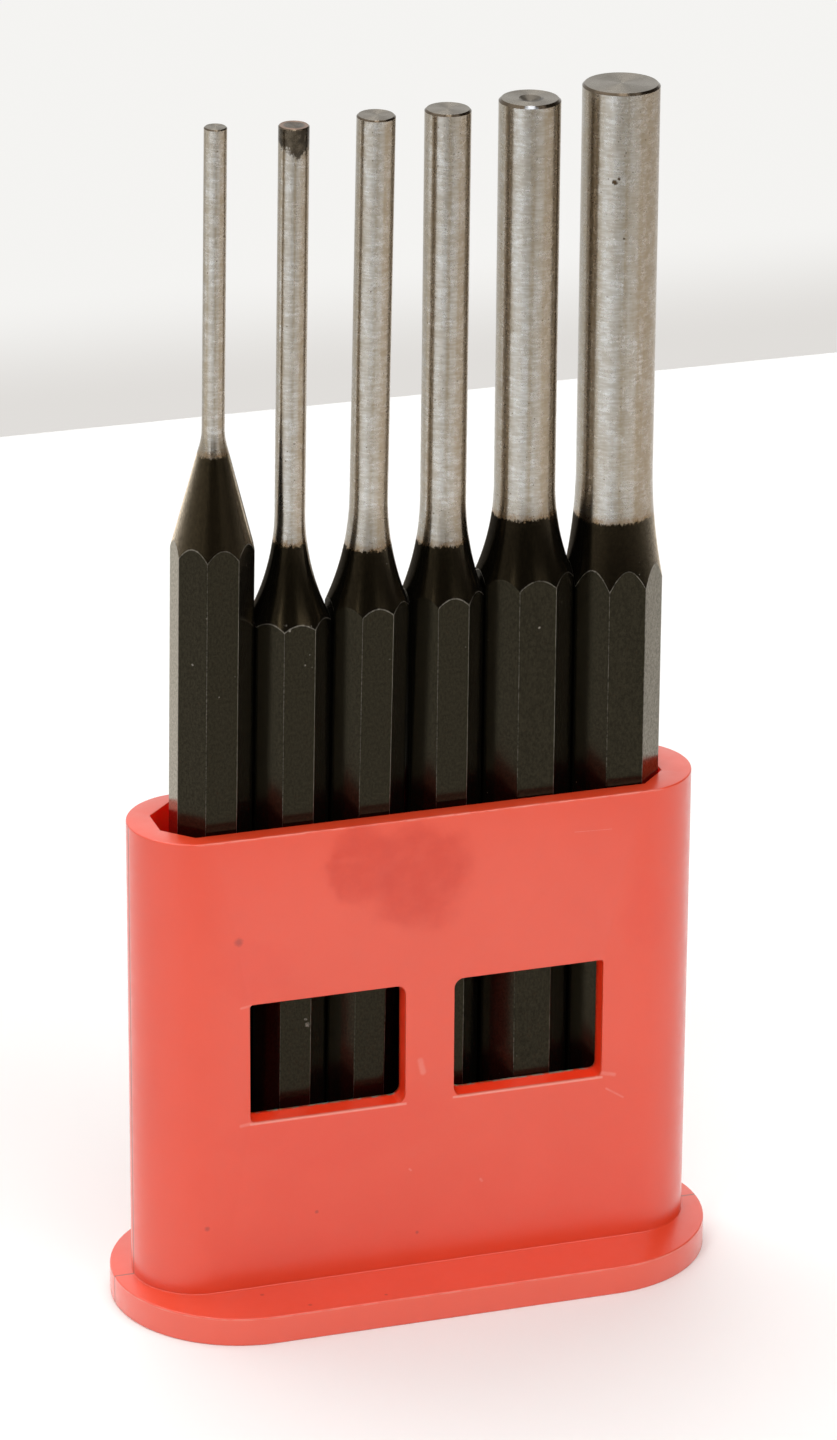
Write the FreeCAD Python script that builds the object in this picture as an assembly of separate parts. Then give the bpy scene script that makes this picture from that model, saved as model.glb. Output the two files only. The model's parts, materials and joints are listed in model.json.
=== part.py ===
import FreeCAD, Part
import math
import os
from FreeCAD import Rotation, Vector

# A bench set of six parallel pin punches standing tips-up in a moulded plastic holder.
# Frame: origin at the middle of the holder's underside, +Z up, +X along the row from the
# thinnest punch to the thickest, -Y towards the side with the windows. Millimetres.

# ---- Holder: body, foot, slot and windows are one moulding -------------------------------
HOLDER_HEIGHT = 68.5
BODY_LENGTH = 76.6
BODY_WIDTH = 17.4
FOOT_LENGTH = 81.9
FOOT_WIDTH = 34.6
FOOT_THICKNESS = 4.0
FOOT_EDGE_ROUND = 0.2
BODY_ROOT_ROUND = 0.12
RIM_ROUND = 0.2

SLOT_LENGTH = 68.4
SLOT_WIDTH = 12.4
SLOT_CENTRE_X = -0.5
SLOT_END_CHAMFER = 3.7      # 45 degree corners, so each end takes half an octagon
POCKET_FLOOR_Z = 11.5       # the punches stand on this floor
FLOOR_THICKNESS = 2.5       # below it the underside is cored out

WINDOW_BOTTOM_Z = 28.0
WINDOW_TOP_Z = 45.0
WINDOW_SPANS_X = {"left": (-24.6, -3.4), "right": (3.3, 23.9)}
WINDOW_INNER_ROUNDS = (1.3, 1.3)   # bottom and top corner beside the middle bar
WINDOW_OUTER_ROUNDS = (0.9, 0.4)   # bottom and top corner at the outer end
WINDOW_SILL_DRAFT = 10.0           # degrees, the sill rises towards the slot
WINDOW_JAMB_DRAFT = 3.0            # degrees

CUT_OVERRUN = 1.0           # a cutting block runs this far past the surface that it opens
EDGE_TOLERANCE = 1e-6

# ---- Punches -----------------------------------------------------------------------------
SMALL_STOCK = 10.0          # octagon bar, across flats
LARGE_STOCK = 12.0
STRUCK_END_CHAMFER = 1.2
STANDING_GAP = 0.1          # between a punch's lowest corner and the pocket floor
OCTAGON_SIDES = 8
PROFILE_MARGIN = 0.5        # the turned profile runs this far past the octagon's corners

# Each punch is one forging: an octagon shank, a turned flare and a round ground pin.
#   across_flats    the shank's octagon stock
#   pin_diameter    the working diameter
#   length          over everything
#   flare_top       height of the flare's upper end above the struck end
#   flare_radius    concave radius that opens from the pin to the shank
#   cone_angle      half angle of the straight cone below that radius, or None for none
#   tip_chamfer     45 degree chamfer on the working end
#   rim_x, rim_y    where the axis crosses the plane of the holder's rim
#   lean_x, lean_y  degrees that it leans in the slot, to +X and to -Y
PUNCHES = {
    "punch_3mm": dict(
        across_flats=SMALL_STOCK, pin_diameter=2.9, length=150.4, flare_top=110.6,
        flare_radius=8.0, cone_angle=14.6, tip_chamfer=0.15,
        rim_x=-27.5, rim_y=-0.70, lean_x=0.35, lean_y=1.6,
    ),
    "punch_4mm": dict(
        across_flats=SMALL_STOCK, pin_diameter=3.9, length=149.6, flare_top=98.3,
        flare_radius=32.5, cone_angle=None, tip_chamfer=0.15,
        rim_x=-17.2, rim_y=-0.70, lean_x=0.30, lean_y=1.35,
    ),
    "punch_5mm": dict(
        across_flats=SMALL_STOCK, pin_diameter=4.9, length=150.2, flare_top=99.5,
        flare_radius=38.5, cone_angle=None, tip_chamfer=0.20,
        rim_x=-6.9, rim_y=-0.75, lean_x=0.40, lean_y=1.7,
    ),
    "punch_6mm": dict(
        across_flats=SMALL_STOCK, pin_diameter=5.9, length=149.4, flare_top=97.7,
        flare_radius=37.5, cone_angle=None, tip_chamfer=0.25,
        rim_x=3.76, rim_y=-0.20, lean_x=0.15, lean_y=0.4,
    ),
    "punch_8mm": dict(
        across_flats=LARGE_STOCK, pin_diameter=7.9, length=149.6, flare_top=98.2,
        flare_radius=32.5, cone_angle=None, tip_chamfer=0.35,
        rim_x=15.0, rim_y=0.0, lean_x=0.06, lean_y=0.0,
    ),
    "punch_10mm": dict(
        across_flats=LARGE_STOCK, pin_diameter=9.9, length=150.5, flare_top=99.5,
        flare_radius=78.0, cone_angle=None, tip_chamfer=0.30,
        rim_x=27.27, rim_y=0.0, lean_x=0.0, lean_y=0.0,
    ),
}

# The 8 mm punch keeps the centre hole from its turning.
CENTRE_HOLE_NODE = "punch_8mm"
CENTRE_HOLE_DIAMETER = 2.8
CENTRE_HOLE_ANGLE = 120.0
PILOT_DIAMETER = 0.7
PILOT_DEPTH = 1.2


def stadium(length, width, bottom, top):
    """Upright block with a full round at each end."""
    radius = width / 2
    reach = length / 2 - radius
    left_top, right_top = Vector(-reach, radius, bottom), Vector(reach, radius, bottom)
    left_low, right_low = Vector(-reach, -radius, bottom), Vector(reach, -radius, bottom)
    outline = Part.Wire([
        Part.makeLine(left_low, right_low),
        Part.Arc(right_low, Vector(length / 2, 0, bottom), right_top).toShape(),
        Part.makeLine(right_top, left_top),
        Part.Arc(left_top, Vector(-length / 2, 0, bottom), left_low).toShape(),
    ])
    return Part.Face(outline).extrude(Vector(0, 0, top - bottom))


def slot_block(bottom, top):
    """The slot's plan: a long box whose corners are cut at 45 degrees."""
    half_length, half_width = SLOT_LENGTH / 2, SLOT_WIDTH / 2
    corners = []
    for side_x, side_y in ((1, -1), (1, 1), (-1, 1), (-1, -1)):
        on_end = Vector(side_x * half_length, side_y * (half_width - SLOT_END_CHAMFER), 0)
        on_side = Vector(side_x * (half_length - SLOT_END_CHAMFER), side_y * half_width, 0)
        corners += [on_side, on_end] if side_x * side_y < 0 else [on_end, on_side]
    offset = Vector(SLOT_CENTRE_X, 0, bottom)
    plan = Part.makePolygon([corner + offset for corner in corners + corners[:1]])
    return Part.Face(plan).extrude(Vector(0, 0, top - bottom))


def window_outline(x_low, x_high, z_low, z_high, depth_y, low_rounds, high_rounds):
    """Rectangle in the plane y = depth_y, with the rounds of each end's bottom and top corner."""
    def corner(x, z, inward_x, inward_z, radius):
        start = Vector(x + inward_x * radius, depth_y, z)
        end = Vector(x, depth_y, z + inward_z * radius)
        middle = Vector(
            x + inward_x * radius * (1 - math.sqrt(0.5)), depth_y,
            z + inward_z * radius * (1 - math.sqrt(0.5)),
        )
        return start, middle, end

    a_start, a_mid, a_end = corner(x_low, z_low, 1, 1, low_rounds[0])
    b_start, b_mid, b_end = corner(x_low, z_high, 1, -1, low_rounds[1])
    c_start, c_mid, c_end = corner(x_high, z_high, -1, -1, high_rounds[1])
    d_start, d_mid, d_end = corner(x_high, z_low, -1, 1, high_rounds[0])
    return Part.Wire([
        Part.Arc(a_start, a_mid, a_end).toShape(),
        Part.makeLine(a_end, b_end),
        Part.Arc(b_end, b_mid, b_start).toShape(),
        Part.makeLine(b_start, c_start),
        Part.Arc(c_start, c_mid, c_end).toShape(),
        Part.makeLine(c_end, d_end),
        Part.Arc(d_end, d_mid, d_start).toShape(),
        Part.makeLine(d_start, a_start),
    ])


def window_cutter(side):
    """Tapered plug through the front wall: the sill and the jambs close in towards the slot."""
    x_low, x_high = WINDOW_SPANS_X[side]
    rounds = (WINDOW_OUTER_ROUNDS, WINDOW_INNER_ROUNDS)
    if side == "right":
        rounds = rounds[::-1]
    wall = (BODY_WIDTH - SLOT_WIDTH) / 2
    sill_rise = wall * math.tan(math.radians(WINDOW_SILL_DRAFT))
    jamb_close = wall * math.tan(math.radians(WINDOW_JAMB_DRAFT))
    sections = []
    for walls_in in (-1, 1):        # one wall thickness outside and inside the outer face
        sections.append(window_outline(
            x_low + walls_in * jamb_close, x_high - walls_in * jamb_close,
            WINDOW_BOTTOM_Z + walls_in * sill_rise, WINDOW_TOP_Z,
            -BODY_WIDTH / 2 + walls_in * wall, *rounds,
        ))
    return Part.makeLoft(sections, True, True)


def flat_edges(shape, height, widest):
    """Edges that lie flat at a height, no further than half a width from the long axis."""
    found = []
    for edge in shape.Edges:
        box = edge.BoundBox
        is_flat = abs(box.ZMin - height) < EDGE_TOLERANCE and abs(box.ZMax - height) < EDGE_TOLERANCE
        if is_flat and max(abs(box.YMin), abs(box.YMax)) < widest / 2 + EDGE_TOLERANCE:
            found.append(edge)
    return found


def holder():
    foot = stadium(FOOT_LENGTH, FOOT_WIDTH, 0, FOOT_THICKNESS)
    foot_rims = flat_edges(foot, 0, FOOT_WIDTH) + flat_edges(foot, FOOT_THICKNESS, FOOT_WIDTH)
    foot = foot.makeFillet(FOOT_EDGE_ROUND, foot_rims)
    body = stadium(BODY_LENGTH, BODY_WIDTH, 0, HOLDER_HEIGHT)
    body = body.makeFillet(RIM_ROUND, flat_edges(body, HOLDER_HEIGHT, BODY_WIDTH))
    shell = foot.fuse(body).removeSplitter()
    shell = shell.makeFillet(BODY_ROOT_ROUND, flat_edges(shell, FOOT_THICKNESS, BODY_WIDTH))
    shell = shell.cut(slot_block(POCKET_FLOOR_Z, HOLDER_HEIGHT + CUT_OVERRUN))
    shell = shell.cut(slot_block(-CUT_OVERRUN, POCKET_FLOOR_Z - FLOOR_THICKNESS))
    for side in WINDOW_SPANS_X:
        shell = shell.cut(window_cutter(side))
    return shell.Solids[0]


def octagon_bar(across_flats, length):
    """Octagon prism on +Z with flats facing X and Y."""
    corner_radius = across_flats / 2 / math.cos(math.pi / OCTAGON_SIDES)
    step = 2 * math.pi / OCTAGON_SIDES
    corners = []
    for index in range(OCTAGON_SIDES + 1):
        angle = step * (index + 0.5)
        corners.append(Vector(corner_radius * math.cos(angle), corner_radius * math.sin(angle), 0))
    return Part.Face(Part.makePolygon(corners)).extrude(Vector(0, 0, length))


def turned_profile(spec):
    """Solid of revolution that a lathe leaves: struck end chamfer, flare, pin and tip chamfer."""
    pin_radius = spec["pin_diameter"] / 2
    corner_radius = spec["across_flats"] / 2 / math.cos(math.pi / OCTAGON_SIDES)
    outer = corner_radius + PROFILE_MARGIN
    flare_radius, flare_top = spec["flare_radius"], spec["flare_top"]
    if spec["cone_angle"] is None:
        sweep = math.acos(1 - (outer - pin_radius) / flare_radius)
    else:
        sweep = math.radians(spec["cone_angle"])

    def on_flare(angle):
        return Vector(
            pin_radius + flare_radius * (1 - math.cos(angle)), 0,
            flare_top - flare_radius * math.sin(angle),
        )

    flare_end = on_flare(sweep)
    base_radius = corner_radius - STRUCK_END_CHAMFER
    tip_radius = pin_radius - spec["tip_chamfer"]
    points_below = [
        Vector(0, 0, 0), Vector(base_radius, 0, 0),
        Vector(outer, 0, STRUCK_END_CHAMFER + PROFILE_MARGIN),
    ]
    if spec["cone_angle"] is None:
        points_below.append(flare_end)
    else:
        cone_drop = (outer - flare_end.x) / math.tan(sweep)
        points_below += [Vector(outer, 0, flare_end.z - cone_drop), flare_end]
    points_above = [
        on_flare(0), Vector(pin_radius, 0, spec["length"] - spec["tip_chamfer"]),
        Vector(tip_radius, 0, spec["length"]), Vector(0, 0, spec["length"]), Vector(0, 0, 0),
    ]
    edges = [Part.makeLine(a, b) for a, b in zip(points_below, points_below[1:])]
    edges.append(Part.Arc(flare_end, on_flare(sweep / 2), on_flare(0)).toShape())
    edges += [Part.makeLine(a, b) for a, b in zip(points_above, points_above[1:])]
    face = Part.Face(Part.Wire(edges))
    return face.revolve(Vector(0, 0, 0), Vector(0, 0, 1), 360)


def centre_hole(length):
    """Countersink and pilot left in the tip by a lathe centre."""
    mouth, pilot = CENTRE_HOLE_DIAMETER / 2, PILOT_DIAMETER / 2
    depth = (mouth - pilot) / math.tan(math.radians(CENTRE_HOLE_ANGLE / 2))
    countersink = Part.makeCone(pilot, mouth, depth, Vector(0, 0, length - depth))
    drilled = Part.makeCylinder(pilot, PILOT_DEPTH, Vector(0, 0, length - PILOT_DEPTH))
    return countersink.fuse(drilled)


def punch_at_origin(name, spec):
    """The punch upright, with the middle of its struck end at the origin."""
    bar = octagon_bar(spec["across_flats"], spec["length"])
    forged = bar.common(turned_profile(spec))
    if name == CENTRE_HOLE_NODE:
        forged = forged.cut(centre_hole(spec["length"]))
    return forged.Solids[0]


def lean_rotation(spec):
    sideways = Rotation(Vector(0, 1, 0), spec["lean_x"])
    forwards = Rotation(Vector(1, 0, 0), spec["lean_y"])
    return forwards.multiply(sideways)


def placement(spec, upright):
    """Stands a leaning punch on the pocket floor, its axis crossing the rim at the stated point."""
    rotation = lean_rotation(spec)
    axis = rotation.multVec(Vector(0, 0, 1))
    tilted = upright.copy()
    tilted.Placement = FreeCAD.Placement(Vector(0, 0, 0), rotation)
    base_z = POCKET_FLOOR_Z + STANDING_GAP - tilted.optimalBoundingBox().ZMin
    rim_point = Vector(spec["rim_x"], spec["rim_y"], HOLDER_HEIGHT)
    base = rim_point - axis * ((HOLDER_HEIGHT - base_z) / axis.z)
    return FreeCAD.Placement(base, rotation)


def punch(name, spec):
    shape = punch_at_origin(name, spec)
    shape.Placement = placement(spec, shape)
    return shape


def main():
    os.makedirs("parts", exist_ok=True)
    parts = {"holder": holder()}
    for name, spec in PUNCHES.items():
        parts[name] = punch(name, spec)
    for name, shape in parts.items():
        if not shape.isValid() or len(shape.Solids) != 1:
            raise SystemExit(f"{name} is not one valid solid")
        shape.exportStep(f"parts/{name}.step")
        box = shape.optimalBoundingBox()
        print(
            f"{name}: {shape.Volume / 1000:.2f} cm3,"
            f" x {box.XMin:.2f}..{box.XMax:.2f}, y {box.YMin:.2f}..{box.YMax:.2f},"
            f" z {box.ZMin:.2f}..{box.ZMax:.2f}"
        )


main()
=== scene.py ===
import bpy
import json
import math
import numpy as np
from mathutils import Matrix, Vector


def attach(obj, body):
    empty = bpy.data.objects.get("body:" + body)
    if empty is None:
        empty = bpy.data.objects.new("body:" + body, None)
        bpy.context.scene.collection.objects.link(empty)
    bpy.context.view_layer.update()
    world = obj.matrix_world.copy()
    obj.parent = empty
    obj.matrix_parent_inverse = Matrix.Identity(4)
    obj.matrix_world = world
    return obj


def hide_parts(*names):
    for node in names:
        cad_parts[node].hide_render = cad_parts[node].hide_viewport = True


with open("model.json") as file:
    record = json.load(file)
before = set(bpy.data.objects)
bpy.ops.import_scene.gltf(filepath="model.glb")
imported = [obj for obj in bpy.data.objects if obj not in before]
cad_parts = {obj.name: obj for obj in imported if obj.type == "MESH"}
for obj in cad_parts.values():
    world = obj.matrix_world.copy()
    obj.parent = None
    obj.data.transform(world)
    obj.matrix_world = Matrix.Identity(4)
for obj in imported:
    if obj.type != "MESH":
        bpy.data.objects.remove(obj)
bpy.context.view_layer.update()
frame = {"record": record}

# A set of six parallel pin punches, standing tips up in a moulded red holder.
# Lengths below are in millimetres and angles in degrees. A mesh is made in millimetres in its
# piece's own frame and then scaled to metres.
MM = 0.001

# ---- Camera ------------------------------------------------------------------------------
CAMERA_TARGET = (0.896, 0.0, 78.53)
CAMERA_DISTANCE = 816.455
CAMERA_AZIMUTH = 18.02          # from straight in front, towards the thin punches
CAMERA_ELEVATION = 22.27
CAMERA_ROLL = 0.355
CAMERA_LENS = 157.245
CAMERA_SENSOR_HEIGHT = 36.0

# ---- Table and wall ----------------------------------------------------------------------
TABLE_BACK_EDGE_Y = 334.6
TABLE_FRONT_EDGE_Y = -480.0
TABLE_REACH = 900.0
TABLE_Z = -0.02                 # just under the foot, so that no two faces share a plane
TABLE_WHITE = (0.89, 0.89, 0.885)
TABLE_GLOW = 0.045              # weakens the red that the table takes on in front of the holder
WALL_Y = 2400.0
WALL_REACH = 3000.0
WALL_LOW_TONE = (-746.0, -681.0)   # heights between which the wall turns from grey to white
WALL_GREY = (0.745, 0.725, 0.70)
WALL_WHITE = (0.905, 0.898, 0.88)

# ---- Light -------------------------------------------------------------------------------
# Soft boxes: where each hangs, the place that it faces, its size, and its power in watts.
SOFT_BOXES = {
    "key": dict(place=(-760, -760, 950), aim=(0, 0, 60), width=150, height=800, power=3.4),
    "fill": dict(place=(560, -940, 950), aim=(0, 0, 60), width=800, height=800, power=7.6),
    "top": dict(place=(-120, -640, 1360), aim=(0, 0, 60), width=500, height=400, power=5.1),
    "back": dict(place=(-100, 500, 1300), aim=(0, 100, 60), width=900, height=700, power=7.4),
}
# The room, which the steel and the plastic reflect, is light on one side and dark on the other.
# Its border runs between two cosines of the angle to the light side.
ROOM_LIGHT_SIDE = (-0.7, 0.71, 0.0)    # behind the object and to its left
ROOM_BORDER = (-0.35, 0.5)
ROOM_DARK = 0.06
ROOM_LIGHT = 0.72
ROOM_DARK_TINT = (1.0, 0.78, 0.55)
ROOM_LIGHT_TINT = (1.0, 0.99, 0.975)

# ---- Holder ------------------------------------------------------------------------------
HOLDER_HEIGHT = 68.5
BODY_REACH = 29.6               # centre of the body to the centre of each round end
BODY_RADIUS = 8.7
FOOT_REACH = 23.65
FOOT_RADIUS = 17.3
FOOT_THICKNESS = 4.0
FOOT_ROUND = 0.2
ROOT_ROUND = 0.12
RIM_ROUND = 0.2
SLOT_CENTRE_X = -0.5
SLOT_HALF_LENGTH = 34.2
SLOT_HALF_WIDTH = 6.2
SLOT_END_CHAMFER = 3.7
SLOT_EDGE_ROUND = 0.1
POCKET_FLOOR_Z = 11.5
RECESS_CEILING_Z = 9.0
WINDOW_BOTTOM_Z = 28.0
WINDOW_TOP_Z = 45.0
WINDOW_SPANS = {"left": (-24.6, -3.4), "right": (3.3, 23.9)}
WINDOW_INNER_ROUND = 1.3
WINDOW_OUTER_ROUND = 0.4          # of an outer top corner
WINDOW_FOOT_ROUND = 0.9           # of an outer bottom corner
WINDOW_LIP_ROUND = 0.15
WINDOW_SILL_DRAFT = 10.0
WINDOW_JAMB_DRAFT = 3.0
PARTING_GROOVE = 0.05           # depth of the line that the mould halves leave on each end
PARTING_HALF_WIDTH = 0.22
COAT = 0.95                     # weight of the glossy skin, less where fingers have dulled it
GLOW_REACH = 4.0                # how far red light wanders inside the slot's walls
GLOW_BY_CHANNEL = (1.0, 0.04, 0.02)

# ---- Colours of the holder -----------------------------------------------------------------
RED_DEEP = (0.765, 0.050, 0.012)
RED_CLOUDY = (0.805, 0.058, 0.017)
# painted sheen: a lighter, pinker red for a broad patch in the middle of the holder
RED_PAINTED_SHEEN = (0.80, 0.090, 0.033)
# painted glow: a brighter red for the walls inside the body, for light that comes through
RED_INSIDE_PAINTED_GLOW = (0.96, 0.04, 0.008)
# painted light: the foot's top and its side each get a lighter red, as the light falls on them
RED_FOOT_TOP_PAINTED_LIGHT = (0.83, 0.10, 0.055)
RED_FOOT_SIDE_PAINTED_LIGHT = (0.85, 0.105, 0.055)
RED_CLEAN = (0.765, 0.044, 0.010)
RED_HANDLED = (0.63, 0.034, 0.008)
SPECK_DARK = (0.38, 0.02, 0.01)
# light scratches, and painted highlights along the rim, foot and outer sill edges
SCRATCH_AND_HIGHLIGHT_PINK = (0.90, 0.47, 0.39)
# painted highlight, greyish, on the burr along each inner sill edge
BURR_HIGHLIGHT_GREY = (0.40, 0.27, 0.22)
PARTING_DARK = (0.30, 0.065, 0.035)

# ---- Punches -----------------------------------------------------------------------------
# flats: octagon stock; flare: radius of the concave arc that leads up to the pin; cone: slope of
# the straight cone under that arc, from the axis; tip: chamfer of the working end; bright_from:
# height at which the dark skin ends; flare_gloss: gloss of the flare beside that of the others.
# nicks show bare metal and pits are dark. Each is an angle round the punch, a distance from its
# axis, a height and a half size. rubbed: the same, for a painted glint on the chamfer.
# blackened: how far down the tip a burnt patch reaches.
PUNCHES = {
    "punch_3mm": dict(
        flats=10.0, length=150.4, flare=8.0, cone=14.6, tip=0.15, bright_from=107.4,
        nicks=[(-135, 5.0, 80.2, 0.13), (-95, 5.0, 76.0, 0.1)], flare_gloss=2.1,
    ),
    "punch_4mm": dict(
        flats=10.0, length=149.6, flare=32.5, cone=None, tip=0.15, bright_from=94.3,
        nicks=[
            (-114.5, 5.3, 85.5, 0.3), (-111.5, 5.3, 84.8, 0.35), (-106.0, 5.1, 84.0, 0.2),
            (-72.0, 5.3, 27.9, 0.3), (-75.0, 5.25, 28.7, 0.2), (-82.0, 5.0, 79.0, 0.13),
            (-75.0, 5.1, 80.4, 0.1),
        ],
        blackened=3.6,
    ),
    "punch_5mm": dict(
        flats=10.0, length=150.2, flare=38.5, cone=None, tip=0.20, bright_from=92.9,
        nicks=[(-122.0, 5.1, 88.0, 0.14)],
    ),
    "punch_6mm": dict(
        flats=10.0, length=149.4, flare=37.5, cone=None, tip=0.25, bright_from=92.0,
    ),
    "punch_8mm": dict(
        flats=12.0, length=149.6, flare=32.5, cone=None, tip=0.35, bright_from=94.4,
        nicks=[(-88.0, 6.0, 80.4, 0.15)], pits=[(-112.5, 6.4, 86.6, 0.6)], centre_hole=True,
        flare_gloss=0.75, rubbed=[(-106.0, 3.9, 149.4, 0.75)],
    ),
    "punch_10mm": dict(
        flats=12.0, length=150.5, flare=78.0, cone=None, tip=0.30, bright_from=93.0,
        pits=[(-117.0, 4.95, 138.9, 0.32), (-111.0, 4.95, 139.4, 0.18), (-102.0, 4.95, 131.5, 0.14)],
    ),
}
SOFT_EDGED = ("punch_5mm", "punch_6mm", "punch_8mm")
SOFT_SIDE = -135.0              # the flat that meets the flare without a worn edge on these
SOFT_SIDE_REACH = 23.0          # degrees from that flat's middle to just past its corners
SOFT_SIDE_WEAR = 0.1
FRONT_CORNER = -112.5           # a corner that is a little less worn than the rest
FRONT_CORNER_REACH = 10.0
FRONT_CORNER_WEAR = 0.75
# The sides of a punch on which the next shank stands close. Each is listed with the one punch
# that has nothing beside it there. Such a flat is made matt, and its two corners hardly worn,
# as painted shade between the close shanks.
NEIGHBOUR_SHADE_SIDES = {"punch_10mm": 0.0, "punch_3mm": 180.0}
NEIGHBOUR_SHADE_REACH = 25.0
NEIGHBOUR_SHADE_WEAR_LOST = 0.9
NEIGHBOUR_SHADE_GLOSS = 0.12
STRUCK_END_CHAMFER = 1.2
SHANK_CORNER_ROUND = 0.22
WEAR_REACH = 0.2                # how far bare metal shows on each side of a worn edge
SCALLOP_EDGE = 0.02             # width of the step in finish between flat and flare
AXIS_GAP = 0.02                 # radius of the small facet that closes a face round its centre
ARC_SHARE = 0.98                # how much of its radius a flare without a cone can drop through
CENTRE_HOLE_RADIUS = 1.4
CENTRE_HOLE_HALF_ANGLE = 60.0
PILOT_RADIUS = 0.35
PILOT_DEPTH = 1.2

# ---- Colours of the punches ----------------------------------------------------------------
STEEL_WARM = (0.45, 0.405, 0.33)
STEEL_COOL = (0.67, 0.665, 0.645)
# painted highlights: two upright strips on each pin, left of its middle and at its middle
STEEL_PAINTED_HIGHLIGHT = (0.70, 0.72, 0.73)
# painted shade down the left outline of each pin
STEEL_PAINTED_EDGE_SHADE = (0.24, 0.225, 0.195)
STEEL_STREAKED = (0.40, 0.32, 0.215)
STEEL_CLOUDED = (0.36, 0.29, 0.195)
STEEL_IN_RINGS = (0.29, 0.235, 0.16)
# painted reflection of the dark room: a darker brown on the right side of each pin
STEEL_PAINTED_DARK_REFLECTION = (0.33, 0.225, 0.13)
STEEL_FLECK = (0.12, 0.09, 0.055)
STEEL_PIT = (0.085, 0.055, 0.03)
STEEL_STAIN = (0.25, 0.155, 0.07)
# painted shade inside the centre hole
STEEL_IN_HOLE_SHADED = (0.25, 0.225, 0.19)
# painted shade in the pilot and along the near edge of the centre hole
HOLE_PAINTED_SHADE = (0.03, 0.022, 0.015)
BURNT = ((0.03, 0.024, 0.016), (0.10, 0.08, 0.055))
TIP_FACE = ((0.17, 0.145, 0.115), (0.27, 0.245, 0.205))
BURNT_TIP_FACE = ((0.09, 0.07, 0.05), (0.27, 0.17, 0.12))    # at its middle and at its rim
# painted shade: the chamfer round each tip is dark
CHAMFER_PAINTED_SHADE = (0.11, 0.085, 0.06)
# painted glint on the chamfer of the tip
CHAMFER_GLINT = (0.36, 0.37, 0.39)
OXIDE = ((0.0012, 0.0011, 0.0008), (0.0032, 0.0026, 0.0016))
FLAT_SHEEN = ((1.0, 0.87, 0.54), (1.0, 0.92, 0.78))          # facing the eye and at the outline
FLARE_SHEEN = ((1.0, 0.76, 0.42), (1.0, 0.86, 0.68))
BARE_METAL = (0.40, 0.37, 0.32)


# ==== Mesh helpers ========================================================================
def strip_faces(ring_count, column_count):
    """Quads between each ring and the next, wrapping round."""
    ring, column = np.meshgrid(np.arange(ring_count - 1), np.arange(column_count), indexing="ij")
    following = (column + 1) % column_count
    low, high = ring * column_count, (ring + 1) * column_count
    quads = np.stack([low + column, low + following, high + following, high + column], axis=-1)
    return [tuple(quad) for quad in quads.reshape(-1, 4).tolist()]


def closed_tube(name, rings, sharp_rings=None):
    """Smooth-shaded mesh through the rings. Edges that run along a ring in sharp_rings stay sharp."""
    column_count = len(rings[0])
    last = (len(rings) - 1) * column_count
    faces = strip_faces(len(rings), column_count)
    faces.append(tuple(reversed(range(column_count))))
    faces.append(tuple(range(last, last + column_count)))
    mesh = bpy.data.meshes.new(name)
    mesh.from_pydata((np.concatenate(rings) * MM).tolist(), [], faces)
    mesh.validate()
    mesh.polygons.foreach_set("use_smooth", [True] * len(mesh.polygons))
    if sharp_rings is not None:
        ends = np.empty(len(mesh.edges) * 2, np.int32)
        mesh.edges.foreach_get("vertices", ends)
        ring_of = ends.reshape(-1, 2) // column_count
        is_sharp = (ring_of[:, 0] == ring_of[:, 1]) & np.isin(ring_of[:, 0], sharp_rings)
        mark = mesh.attributes.new("sharp_edge", "BOOLEAN", "EDGE")
        mark.data.foreach_set("value", is_sharp)
    made = bpy.data.objects.new(name, mesh)
    bpy.context.scene.collection.objects.link(made)
    return made


# ==== Shader helpers ======================================================================
GROOVES_ROUND = 0.25             # anisotropic rotation, in turns


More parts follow.
